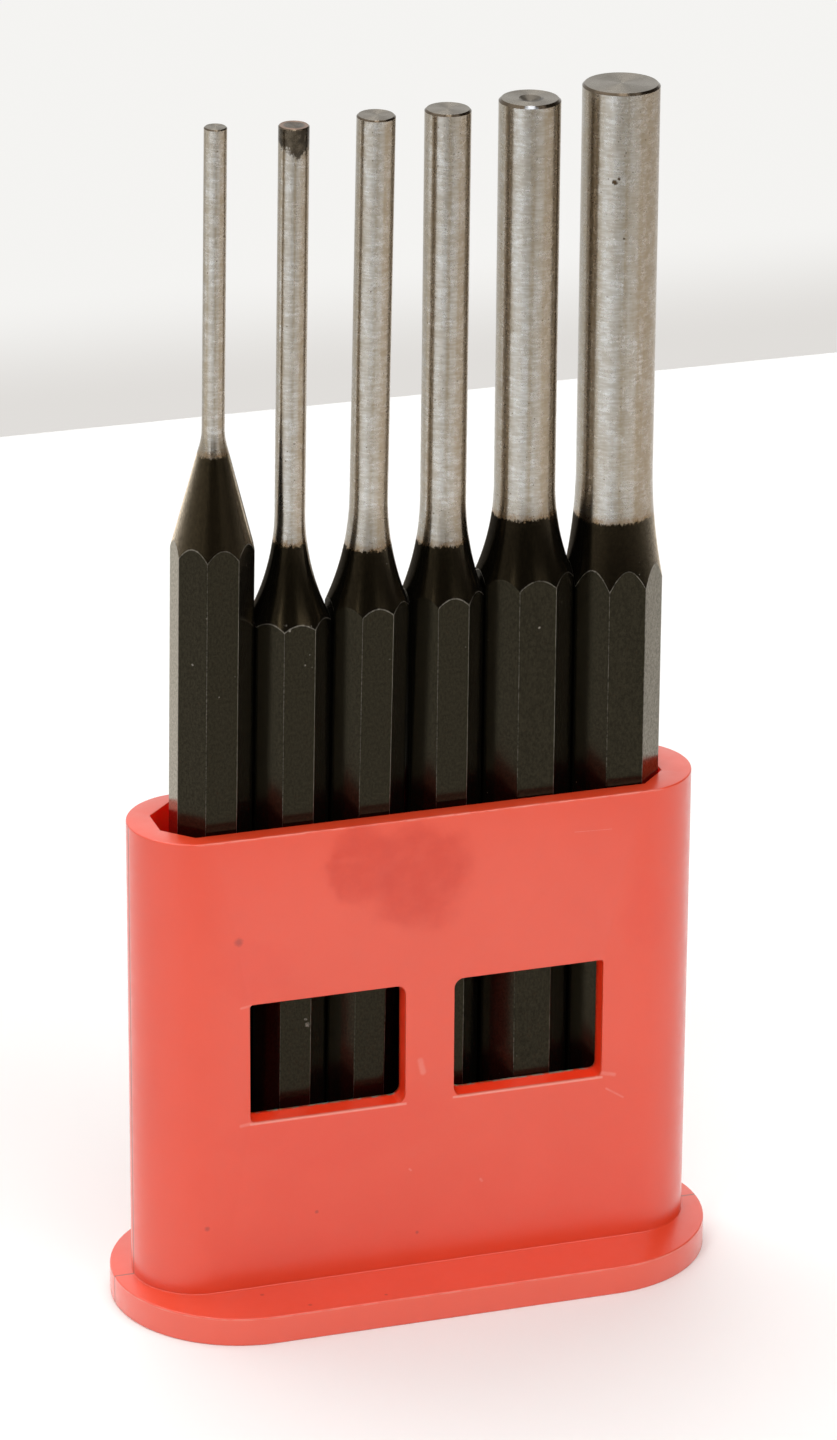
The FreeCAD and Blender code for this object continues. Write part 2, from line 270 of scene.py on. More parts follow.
class Shader:
    """A material whose nodes are written as function calls. Vectors are in millimetres."""

    def __init__(self, name):
        self.material = bpy.data.materials.new(name)
        self.material.use_nodes = True
        self.tree = self.material.node_tree
        self.tree.nodes.clear()
        self.output = self.tree.nodes.new("ShaderNodeOutputMaterial")
        coordinates = self.tree.nodes.new("ShaderNodeTexCoord")
        self.place = self.vector("SCALE", coordinates.outputs["Object"], scale=1 / MM)
        split = self.tree.nodes.new("ShaderNodeSeparateXYZ")
        self.link(self.place, split.inputs[0])
        self.x, self.y, self.z = split.outputs

    def link(self, value, socket):
        if isinstance(value, bpy.types.NodeSocket):
            self.tree.links.new(value, socket)
        elif socket.type == "RGBA":
            socket.default_value = (*value, 1.0)
        else:
            socket.default_value = value

    def vector(self, operation, first, second=None, scale=None):
        node = self.tree.nodes.new("ShaderNodeVectorMath")
        node.operation = operation
        self.link(first, node.inputs[0])
        if second is not None:
            self.link(second, node.inputs[1])
        if scale is not None:
            self.link(scale, node.inputs["Scale"])
        gives_number = operation in ("LENGTH", "DISTANCE", "DOT_PRODUCT")
        return node.outputs["Value" if gives_number else "Vector"]

    def math(self, operation, first, second=0.0, third=0.0, clamp=False):
        node = self.tree.nodes.new("ShaderNodeMath")
        node.operation = operation
        node.use_clamp = clamp
        for value, socket in zip((first, second, third), node.inputs):
            self.link(value, socket)
        return node.outputs[0]

    def span(self, value, start, end, low=0.0, high=1.0):
        """Smooth step from low to high as value goes from start to end."""
        node = self.tree.nodes.new("ShaderNodeMapRange")
        node.interpolation_type = "SMOOTHSTEP"
        for key, amount in (("Value", value), ("From Min", start), ("From Max", end),
                            ("To Min", low), ("To Max", high)):
            self.link(amount, node.inputs[key])
        return node.outputs["Result"]

    def noise(self, stretch, detail=2.0, roughness=0.5):
        """Noise, 0 to 1, with its own frequency per millimetre along each axis."""
        node = self.tree.nodes.new("ShaderNodeTexNoise")
        self.link(self.vector("MULTIPLY", self.place, stretch), node.inputs["Vector"])
        node.inputs["Scale"].default_value = 1.0
        node.inputs["Detail"].default_value = detail
        node.inputs["Roughness"].default_value = roughness
        return node.outputs[0]

    def mix(self, factor, first, second):
        node = self.tree.nodes.new("ShaderNodeMix")
        node.data_type = "RGBA"
        self.link(factor, node.inputs["Factor"])
        self.link(first, node.inputs[6])
        self.link(second, node.inputs[7])
        return node.outputs[2]

    def attribute(self, name):
        node = self.tree.nodes.new("ShaderNodeAttribute")
        node.attribute_name = name
        return node.outputs["Fac"]

    def both(self, first, second):
        return self.math("MULTIPLY", first, second)

    def either(self, first, second):
        return self.math("MAXIMUM", first, second)

    def ridge(self, value, centre, reach):
        """1 where the value is at the centre, 0 from reach away on each side."""
        away = self.math("ABSOLUTE", self.math("SUBTRACT", value, centre))
        return self.span(away, reach * 0.4, reach, 1.0, 0.0)

    def spot(self, centre, half_sizes, wobble, softness):
        """1 inside a ragged oval spot, 0 outside."""
        apart = self.vector("DIVIDE", self.vector("SUBTRACT", self.place, centre), half_sizes)
        stretch = tuple(1.6 / size for size in half_sizes)
        ragged = self.math(
            "MULTIPLY_ADD", self.noise(stretch, detail=4.0), 2 * wobble, self.vector("LENGTH", apart),
        )
        return self.span(ragged, 1 + wobble - softness, 1 + wobble + softness, 1.0, 0.0)

    def streak(self, start, end, reach):
        """1 along the line from start to end, 0 from reach away."""
        start, run = Vector(start), Vector(end) - Vector(start)
        from_start = self.vector("SUBTRACT", self.place, start)
        dot = self.vector("DOT_PRODUCT", from_start, run)
        share = self.math("DIVIDE", dot, run.length_squared, clamp=True)
        nearest = self.vector("SCALE", run, scale=share)
        return self.span(self.vector("DISTANCE", from_start, nearest), reach * 0.3, reach, 1.0, 0.0)

    def flecks(self, per_mm, radius, rarity):
        """Small dots, at most one in each cell of a grid with so many cells per millimetre."""
        node = self.tree.nodes.new("ShaderNodeTexVoronoi")
        node.inputs["Scale"].default_value = per_mm
        self.link(self.place, node.inputs["Vector"])
        chosen = self.vector("DOT_PRODUCT", node.outputs["Color"], (1.0, 0.0, 0.0))
        dot = self.span(node.outputs["Distance"], radius * per_mm, radius * per_mm * 0.5)
        return self.math("MULTIPLY", dot, self.math("GREATER_THAN", chosen, rarity))

    def bump(self, height, distance, strength):
        node = self.tree.nodes.new("ShaderNodeBump")
        node.inputs["Strength"].default_value = strength
        node.inputs["Distance"].default_value = distance * MM
        self.link(height, node.inputs["Height"])
        return node.outputs[0]

    def surface(self, **settings):
        node = self.tree.nodes.new("ShaderNodeBsdfPrincipled")
        for key, value in settings.items():
            self.link(value, node.inputs[key.replace("_", " ")])
        return node.outputs[0]

    def facing(self):
        """0 where the surface faces the eye, towards 1 at its outline."""
        node = self.tree.nodes.new("ShaderNodeLayerWeight")
        node.inputs["Blend"].default_value = 0.5
        return node.outputs["Facing"]

    def gloss(self, color, roughness, stretch, normal):
        """Reflection alone, drawn out along the piece's own Z by grooves that run round it."""
        node = self.tree.nodes.new("ShaderNodeBsdfAnisotropic")
        self.link(color, node.inputs["Color"])
        self.link(roughness, node.inputs["Roughness"])
        self.link(-stretch, node.inputs["Anisotropy"])
        self.link(GROOVES_ROUND, node.inputs["Rotation"])
        self.link(normal, node.inputs["Normal"])
        return node.outputs[0]

    def blend(self, factor, first, second):
        node = self.tree.nodes.new("ShaderNodeMixShader")
        self.link(factor, node.inputs[0])
        self.link(first, node.inputs[1])
        self.link(second, node.inputs[2])
        return node.outputs[0]

    def finish(self, surface):
        self.link(surface, self.output.inputs["Surface"])
        return self.material


# ==== Holder ==============================================================================
ARC_STEPS = 48                   # a multiple of 3, so that the slot's corners get a point each
ARC_SHARES = sorted([step / ARC_STEPS for step in range(ARC_STEPS)] + [0.496, 0.504])
STRAIGHT_SHARES = [0.0, 0.008, 0.992]


def along(start, end, share):
    return tuple(a + (b - a) * share for a, b in zip(start, end))


def stadium_ring(reach, radius, z, groove=0.0):
    """Points of a stadium, from the front left, anticlockwise as seen from above."""
    ring = []
    for side in (-1, 1):
        start, end = (side * reach, side * radius), (-side * reach, side * radius)
        ring += [along(start, end, share) for share in STRAIGHT_SHARES]
        for share in ARC_SHARES:
            angle = math.pi * (share + (1.5 if side < 0 else 0.5))
            depth = radius - (groove if share == 0.5 else 0.0)
            ring.append((-side * reach + depth * math.cos(angle), depth * math.sin(angle)))
    return [(x, y, z) for x, y in ring]


def slot_ring(grow, z):
    """Points of the slot's plan, as many as a stadium ring has and in the same order."""
    ring = []
    half_length, half_width = SLOT_HALF_LENGTH + grow, SLOT_HALF_WIDTH + grow
    straight = half_length - SLOT_END_CHAMFER
    shoulder = half_width - SLOT_END_CHAMFER
    for side in (-1, 1):
        start, end = (side * straight, side * half_width), (-side * straight, side * half_width)
        ring += [along(start, end, share) for share in STRAIGHT_SHARES]
        turn = [
            end, (-side * half_length, side * shoulder),
            (-side * half_length, -side * shoulder), (-side * straight, -side * half_width),
        ]
        for share in ARC_SHARES:
            leg = min(int(share * 3 + 1e-9), 2)
            ring.append(along(turn[leg], turn[leg + 1], share * 3 - leg))
    return [(x + SLOT_CENTRE_X, y, z) for x, y in ring]


def quarter(steps=4):
    """Sine and cosine pairs of a quarter turn."""
    return [(math.sin(a), math.cos(a)) for a in (math.pi / 2 * k / steps for k in range(steps + 1))]


def window_ring(side, proud, depth):
    """Rounded outline of a window: proud of its drawn size, at a depth behind the outer face."""
    x_low, x_high = WINDOW_SPANS[side]
    jamb = depth * math.tan(math.radians(WINDOW_JAMB_DRAFT))
    sill = depth * math.tan(math.radians(WINDOW_SILL_DRAFT))
    top, bottom = (WINDOW_OUTER_ROUND, WINDOW_INNER_ROUND), (WINDOW_FOOT_ROUND, WINDOW_INNER_ROUND)
    if side == "right":
        top, bottom = top[::-1], bottom[::-1]
    x_low, x_high = x_low - proud + jamb, x_high + proud - jamb
    z_low, z_high = WINDOW_BOTTOM_Z - proud + sill, WINDOW_TOP_Z + proud
    corners = [
        (x_high, z_low, bottom[1], -90), (x_high, z_high, top[1], 0),
        (x_low, z_high, top[0], 90), (x_low, z_low, bottom[0], 180),
    ]
    ring = []
    for x, z, corner_round, start in corners:
        radius = corner_round + proud
        centre_x = x - radius if x == x_high else x + radius
        centre_z = z - radius if z == z_high else z + radius
        for sine, cosine in quarter(6):
            turn = math.radians(start)
            across = cosine * math.cos(turn) - sine * math.sin(turn)
            up = cosine * math.sin(turn) + sine * math.cos(turn)
            ring.append((centre_x + radius * across, -BODY_RADIUS + depth, centre_z + radius * up))
    return ring


def window_cutter(side):
    """Plug through the front wall, flared at its mouth so that the cut edge comes out rounded."""
    wall = BODY_RADIUS - SLOT_HALF_WIDTH
    rings = [window_ring(side, 0.0, wall + 1.0)]
    for sine, cosine in quarter():
        rings.append(window_ring(side, WINDOW_LIP_ROUND * (1 - cosine), WINDOW_LIP_ROUND * (1 - sine)))
    rings.append(window_ring(side, WINDOW_LIP_ROUND, -1.0))
    return closed_tube(f"{side}_window_cutter", rings)


def holder_piece():
    rings = [slot_ring(0.0, RECESS_CEILING_Z), slot_ring(0.0, 0.0)]
    for sine, cosine in quarter():
        rings.append(stadium_ring(
            FOOT_REACH, FOOT_RADIUS - FOOT_ROUND * (1 - sine),
            FOOT_ROUND * (1 - cosine), PARTING_GROOVE,
        ))
    for sine, cosine in quarter():
        rings.append(stadium_ring(
            FOOT_REACH, FOOT_RADIUS - FOOT_ROUND * (1 - cosine),
            FOOT_THICKNESS - FOOT_ROUND * (1 - sine), PARTING_GROOVE,
        ))
    for sine, cosine in quarter():
        rings.append(stadium_ring(
            BODY_REACH, BODY_RADIUS + ROOT_ROUND * (1 - sine),
            FOOT_THICKNESS + ROOT_ROUND * (1 - cosine), PARTING_GROOVE,
        ))
    for sine, cosine in quarter():
        rings.append(stadium_ring(
            BODY_REACH, BODY_RADIUS - RIM_ROUND * (1 - cosine),
            HOLDER_HEIGHT - RIM_ROUND * (1 - sine), PARTING_GROOVE if sine < 0.5 else 0.0,
        ))
    for sine, cosine in quarter():
        rings.append(slot_ring(
            SLOT_EDGE_ROUND * (1 - sine), HOLDER_HEIGHT - SLOT_EDGE_ROUND * (1 - cosine),
        ))
    rings.append(slot_ring(0.0, POCKET_FLOOR_Z))
    shell = closed_tube("holder_shell", rings)
    cutters = [window_cutter(side) for side in WINDOW_SPANS]
    for cutter in cutters:
        cut = shell.modifiers.new("window", "BOOLEAN")
        cut.operation = "DIFFERENCE"
        cut.solver = "EXACT"
        cut.object = cutter
    bpy.context.view_layer.update()
    evaluated = shell.evaluated_get(bpy.context.evaluated_depsgraph_get())
    mesh = bpy.data.meshes.new_from_object(evaluated)
    mesh.set_sharp_from_angle(angle=math.radians(28))
    for spent in (shell, *cutters):
        bpy.data.objects.remove(spent)
    piece = bpy.data.objects.new("holder_moulding", mesh)
    bpy.context.scene.collection.objects.link(piece)
    mesh.materials.clear()
    mesh.materials.append(holder_material())
    return piece


# Marks on the front of the holder: x, z, half width, half height, strength.
FINGER_MARKS = [(-1.4, 60.2, 6.4, 7.2, 0.8), (-9.6, 63.0, 4.8, 5.2, 0.75)]
CLEAN_PATCHES = [
    (-13.0, 26.5, 12.5, 6.0, 0.55), (-24.0, 50.0, 5.0, 4.0, 0.45), (29.6, 51.0, 3.0, 5.0, 0.5),
]
# Dark specks on the body and the foot: place, then half size.
SPECKS = [
    (-26.1, -8.7, 54.2, 0.5), (-15.6, -8.7, 13.9, 0.22), (-30.6, -8.7, 13.6, 0.3),
    (-1.7, -8.7, 8.8, 0.2), (-23.8, -10.9, 4.0, 0.25), (-18.6, -15.5, 4.0, 0.25),
    (-8.2, -15.7, 4.0, 0.2),
]
# Light scratches and flash left by the moulding: x and z of both ends, then the half width.
SCRATCHES = [
    (-25.9, 27.9, -23.3, 28.2, 0.35), (23.7, 28.6, 25.7, 28.1, 0.4), (-25.8, 44.8, -24.5, 45.0, 0.25),
    (-1.4, 33.9, -1.0, 32.2, 0.6), (24.6, 26.2, 27.0, 24.6, 0.2), (19.6, 63.9, 24.7, 63.7, 0.08),
    (7.1, 15.4, 7.3, 15.1, 0.25), (-2.8, 18.3, -2.6, 18.1, 0.2),
]


def window_edges(s):
    """Painted highlight along each outer sill edge, and a greyish painted highlight on the burr
    along each inner one.
    """
    in_window = 0.0
    for low, high in WINDOW_SPANS.values():
        inside = s.both(s.span(s.x, low - 0.3, low), s.span(s.x, high + 0.3, high))
        in_window = s.either(in_window, inside)
    on_face = s.span(s.y, -BODY_RADIUS + 0.45, -BODY_RADIUS + 0.2)
    wall = BODY_RADIUS - SLOT_HALF_WIDTH
    inner_sill_z = WINDOW_BOTTOM_Z + wall * math.tan(math.radians(WINDOW_SILL_DRAFT))
    at_inner_edge = s.ridge(s.y, -SLOT_HALF_WIDTH - 0.1, 0.35)
    broken = s.span(s.noise((0.9, 0.9, 0.9), detail=3.0), 0.42, 0.55)
    outer = s.both(s.both(in_window, on_face), s.ridge(s.z, WINDOW_BOTTOM_Z - 0.05, 0.24))
    inner = s.both(s.both(in_window, at_inner_edge), s.ridge(s.z, inner_sill_z, 0.25))
    return outer, s.both(inner, broken)


def holder_material():
    """Red moulding: a painted sheen in the middle, handled below the rim, light scratches, and
    painted highlights along its edges. Its foot is painted lighter for the light that falls on it.

    The slot's walls let light through, as the whole holder would in truth. The walls inside the
    body are also painted a brighter red, as a painted glow of that light.
    """
    s = Shader("red_moulding")
    cloud = s.noise((0.06, 0.06, 0.05), detail=3.0)
    grain = s.noise((7.0, 7.0, 7.0), detail=3.0)
    red = s.mix(s.span(cloud, 0.3, 0.7), RED_DEEP, RED_CLOUDY)
    # Painted sheen: a broad, lighter and pinker patch in the middle of the holder.
    painted_sheen = s.spot((2.0, 0.0, 46.0), (30.0, 60.0, 26.0), wobble=0.2, softness=0.6)
    red = s.mix(s.both(painted_sheen, 0.3), red, RED_PAINTED_SHEEN)
    past_middle = s.math("MAXIMUM", s.math("SUBTRACT", s.math("ABSOLUTE", s.x), BODY_REACH), 0.0)
    from_middle = s.math("SQRT", s.math("ADD", s.both(past_middle, past_middle), s.both(s.y, s.y)))
    under_top = s.span(s.z, HOLDER_HEIGHT - 0.05, HOLDER_HEIGHT - 0.2)
    inside = s.both(under_top, s.span(from_middle, BODY_RADIUS - 0.25, BODY_RADIUS - 0.6))
    in_slot = s.both(under_top, s.span(from_middle, SLOT_HALF_WIDTH + 0.4, SLOT_HALF_WIDTH + 0.2))
    # Painted glow: the walls inside the body, in the slot and the windows, get a brighter red.
    red = s.mix(inside, red, RED_INSIDE_PAINTED_GLOW)
    # Painted light: the foot is painted lighter, its side more strongly than its top.
    on_foot = s.span(s.z, FOOT_THICKNESS + 0.3, FOOT_THICKNESS + 0.05, 0.0, 0.25)
    red = s.mix(on_foot, red, RED_FOOT_TOP_PAINTED_LIGHT)
    on_foot_side = s.span(s.z, FOOT_THICKNESS - 0.1, FOOT_THICKNESS - 0.3, 0.0, 0.7)
    red = s.mix(on_foot_side, red, RED_FOOT_SIDE_PAINTED_LIGHT)
    blotches = s.span(s.noise((0.45, 0.45, 0.45), detail=4.0, roughness=0.6), 0.3, 0.65, 0.65, 1.0)
    gloss_lost = 0.0
    for marks, colour, dulls in ((CLEAN_PATCHES, RED_CLEAN, 0.0), (FINGER_MARKS, RED_HANDLED, 0.6)):
        for x, z, half_width, half_height, strength in marks:
            half_sizes = (half_width, 3.0, half_height)
            spot = s.spot((x, -BODY_RADIUS, z), half_sizes, wobble=0.5, softness=0.28)
            mark = s.both(s.both(spot, blotches), strength)
            red = s.mix(mark, red, colour)
            gloss_lost = s.either(gloss_lost, s.both(mark, dulls))
    for x, y, z, size in SPECKS:
        spot = s.spot((x, y, z), (size, size, size), wobble=0.4, softness=0.7)
        red = s.mix(s.both(spot, 0.7), red, SPECK_DARK)
    light = 0.0
    for x_start, z_start, x_end, z_end, reach in SCRATCHES:
        streak = s.streak((x_start, -BODY_RADIUS, z_start), (x_end, -BODY_RADIUS, z_end), reach)
        light = s.either(light, s.both(streak, s.span(blotches, 0.5, 0.9, 0.05, 0.2)))
    # Painted highlights, broken up, along the outer rim edge and the foot's top edge.
    highlight_breaks = s.span(s.noise((0.5, 0.5, 3.0), detail=3.0), 0.4, 0.6, 0.06, 0.22)
    outside = s.span(s.math("ABSOLUTE", s.y), BODY_RADIUS - 0.4, BODY_RADIUS - 0.2)
    on_rim_edge = s.both(outside, s.ridge(s.z, HOLDER_HEIGHT - 0.1, 0.2))
    light = s.either(light, s.both(on_rim_edge, highlight_breaks))
    light = s.either(light, s.both(s.ridge(s.z, FOOT_THICKNESS - 0.2, 0.15), highlight_breaks))
    sill_edge, painted_edge_line = window_edges(s)
    # Painted highlight along each outer sill edge.
    light = s.either(light, s.both(sill_edge, 0.4))
    red = s.mix(light, red, SCRATCH_AND_HIGHLIGHT_PINK)
    # Painted highlight, greyish, on the burr along each inner sill edge.
    red = s.mix(s.both(painted_edge_line, 0.7), red, BURR_HIGHLIGHT_GREY)
    on_end = s.span(s.math("ABSOLUTE", s.x), BODY_REACH, BODY_REACH + 1.0)
    below_rim = s.span(s.z, HOLDER_HEIGHT - 0.15, HOLDER_HEIGHT - 0.3)
    parting = s.both(s.both(on_end, below_rim), s.ridge(s.y, 0.0, PARTING_HALF_WIDTH))
    red = s.mix(s.both(parting, 0.85), red, PARTING_DARK)
    roughness = s.span(s.noise((0.5, 0.5, 0.5)), 0.3, 0.7, 0.32, 0.4)
    relief = s.bump(grain, 0.012, 0.5)
    return s.finish(s.surface(
        Base_Color=red, Roughness=roughness, IOR=1.5, Normal=relief,
        Coat_Weight=s.math("SUBTRACT", COAT, gloss_lost), Coat_Roughness=0.27,
        Subsurface_Weight=in_slot, Subsurface_Radius=GLOW_BY_CHANNEL, Subsurface_Scale=GLOW_REACH * MM,
    ))


# ==== Punches =============================================================================
def octagon_section(flats):
    """Angle, radius and corner wear of each column round the rounded octagon."""
    half = math.pi / 8
    apothem = flats / 2
    core = (apothem - SHANK_CORNER_ROUND) / math.cos(half)
    tangent = math.atan2(
        SHANK_CORNER_ROUND * math.sin(half), core + SHANK_CORNER_ROUND * math.cos(half)
    )
    edge = tangent + math.radians(0.6)
    offsets = [0.0, tangent / 2, tangent, edge]
    offsets += [edge + (half - edge) * share for share in (0.2, 0.4, 0.6, 0.8, 1.0)]
    columns = []
    for corner in range(8):
        middle = half * (2 * corner + 1)
        for offset in [-o for o in offsets[-2:0:-1]] + offsets:
            away = abs(offset)
            if away < tangent + 1e-9:
                bulge = math.sqrt(max(SHANK_CORNER_ROUND ** 2 - (core * math.sin(away)) ** 2, 0.0))
                radius = core * math.cos(away) + bulge
            else:
                radius = apothem / math.cos(half - away)
            columns.append((middle + offset, radius, max(0.0, 1 - away / tangent)))
    return [np.array(column) for column in zip(*columns)]


class Profile:
    """The turned outline of a punch above its shank."""

    def __init__(self, spec, pin_radius, pin_length):
        self.spec = spec
        self.pin_radius = pin_radius
        self.pin_top = spec["length"] - spec["tip"]
        self.flare_top = self.pin_top - pin_length
        if spec["cone"] is None:
            self.arc_drop = spec["flare"] * ARC_SHARE
            self.cone_slope = 0.0
        else:
            self.arc_drop = spec["flare"] * math.sin(math.radians(spec["cone"]))
            self.cone_slope = math.tan(math.radians(spec["cone"]))
        self.arc_radius_end = self.on_arc(self.arc_drop)

    def on_arc(self, drop):
        flare = self.spec["flare"]
        return self.pin_radius + flare - np.sqrt(flare ** 2 - np.minimum(drop, self.arc_drop) ** 2)

    def radius(self, z):
        drop = np.maximum(self.flare_top - z, 0.0)
        return self.on_arc(drop) + np.maximum(drop - self.arc_drop, 0.0) * self.cone_slope

    def height(self, radius):
        """Height at which the flare has this radius."""
        flare = self.spec["flare"]
        rise = np.minimum(radius, self.arc_radius_end) - self.pin_radius
        drop = np.sqrt(flare ** 2 - (flare - rise) ** 2)
        if self.cone_slope:
            drop = drop + np.maximum(radius - self.arc_radius_end, 0.0) / self.cone_slope
        return self.flare_top - drop


def near(angles, side, reach):
    """Which of the angles, in radians, are within a reach of a side, both in degrees."""
    return np.abs((np.degrees(angles) - side + 180) % 360 - 180) < reach


def punch_mesh(name, spec, profile):
    """A punch with its struck end on the origin, and what its material needs at each point."""
    angles, bar, corner = octagon_section(spec["flats"])
    is_soft = near(angles, SOFT_SIDE, SOFT_SIDE_REACH) & (name in SOFT_EDGED)
    scallop_wear = np.where(is_soft, SOFT_SIDE_WEAR, 1.0)
    corner = corner * np.where(near(angles, FRONT_CORNER, FRONT_CORNER_REACH), FRONT_CORNER_WEAR, 1.0)
    # Painted shade between close shanks: the flats that face the next one lose their worn corners.
    sheltered = np.zeros(len(angles))
    for unshaded, side in NEIGHBOUR_SHADE_SIDES.items():
        sheltered[near(angles, side, NEIGHBOUR_SHADE_REACH) & (name != unshaded)] = 1.0
    corner = corner * (1.0 - NEIGHBOUR_SHADE_WEAR_LOST * sheltered)
    rings, sharp, wears, turned = [], [], [], []

    def ring(z, radius, wear=0.0, is_sharp=False, is_turned=0.0):
        z, radius, wear, is_turned = (
            np.broadcast_to(value, angles.shape) for value in (z, radius, wear, is_turned)
        )
        if is_sharp:
            sharp.append(len(rings))
        rings.append(np.stack([radius * np.cos(angles), radius * np.sin(angles), z], axis=1))
        wears.append(wear)
        turned.append(is_turned)

    # struck end, with its turned chamfer running out on the flats
    base = bar.max() - STRUCK_END_CHAMFER
    chamfer_top = bar - base
    ring(0.0, AXIS_GAP)
    ring(0.0, base * 0.6)
    ring(0.0, base, 0.5, True)
    ring(chamfer_top, bar, 1.0, True)
    ring(chamfer_top + WEAR_REACH, bar, corner)
    # shank, up to the scalloped line where the flare runs out on the flats
    scallop = profile.height(bar)
    lowest, highest = scallop.min(), scallop.max()
    for z in np.linspace(STRUCK_END_CHAMFER + 1.0, lowest - 1.0, 12):
        ring(z, bar, corner)
    for share in (0.35, 0.7):
        ring(lowest - 1.0 + (scallop - WEAR_REACH - lowest + 1.0) * share, bar, corner)
    ring(scallop - WEAR_REACH, bar, corner)
    ring(scallop, bar, scallop_wear, True)
    # flare
    edge = scallop + SCALLOP_EDGE
    ring(edge, profile.radius(edge), 0.8 * scallop_wear, False, 1.0)
    lifted = scallop + WEAR_REACH
    ring(lifted, profile.radius(lifted), is_turned=1.0)
    clear = highest + 0.8
    for share in (0.3, 0.65):
        z = lifted + (clear - lifted) * share
        ring(z, profile.radius(z), is_turned=1.0)
    for z in np.linspace(clear, profile.flare_top, 22):
        ring(z, profile.radius(z), is_turned=1.0)
    # ground pin and its tip
    for z in np.linspace(profile.flare_top, profile.pin_top, 9)[1:-1]:
        ring(z, profile.pin_radius)
    face = profile.pin_radius - spec["tip"]
    length = spec["length"]
    ring(profile.pin_top - 0.1, profile.pin_radius)
    ring(profile.pin_top, profile.pin_radius, 1.0, True)
    ring(length, face, 1.0, True)
    ring(length, face - 0.12)
    if "centre_hole" in spec:
        seat = (CENTRE_HOLE_RADIUS - PILOT_RADIUS) / math.tan(math.radians(CENTRE_HOLE_HALF_ANGLE))
        ring(length, CENTRE_HOLE_RADIUS, 1.0, True)
        ring(length - seat, PILOT_RADIUS, 0.0, True)
        ring(length - PILOT_DEPTH, PILOT_RADIUS, 0.0, True)
        ring(length - PILOT_DEPTH, AXIS_GAP)
    else:
        ring(length, face * 0.5)
        ring(length, AXIS_GAP)
    made = closed_tube(f"{name}_forging", rings, sharp)
    for label, values in (("wear", wears), ("turned", turned), ("sheltered", [sheltered] * len(rings))):
        layer = made.data.attributes.new(label, "FLOAT", "POINT")
        layer.data.foreach_set("value", np.concatenate(values).astype(np.float32))
    return made


def spots_on(s, marks):
    """1 in each of a punch's nicks or pits, 0 elsewhere."""
    mask = 0.0
    for angle, radius, z, size in marks:
        turn = math.radians(angle)
        centre = (radius * math.cos(turn), radius * math.sin(turn), z)
        mask = s.either(mask, s.spot(centre, (size, size, size), wobble=0.8, softness=0.35))
    return mask


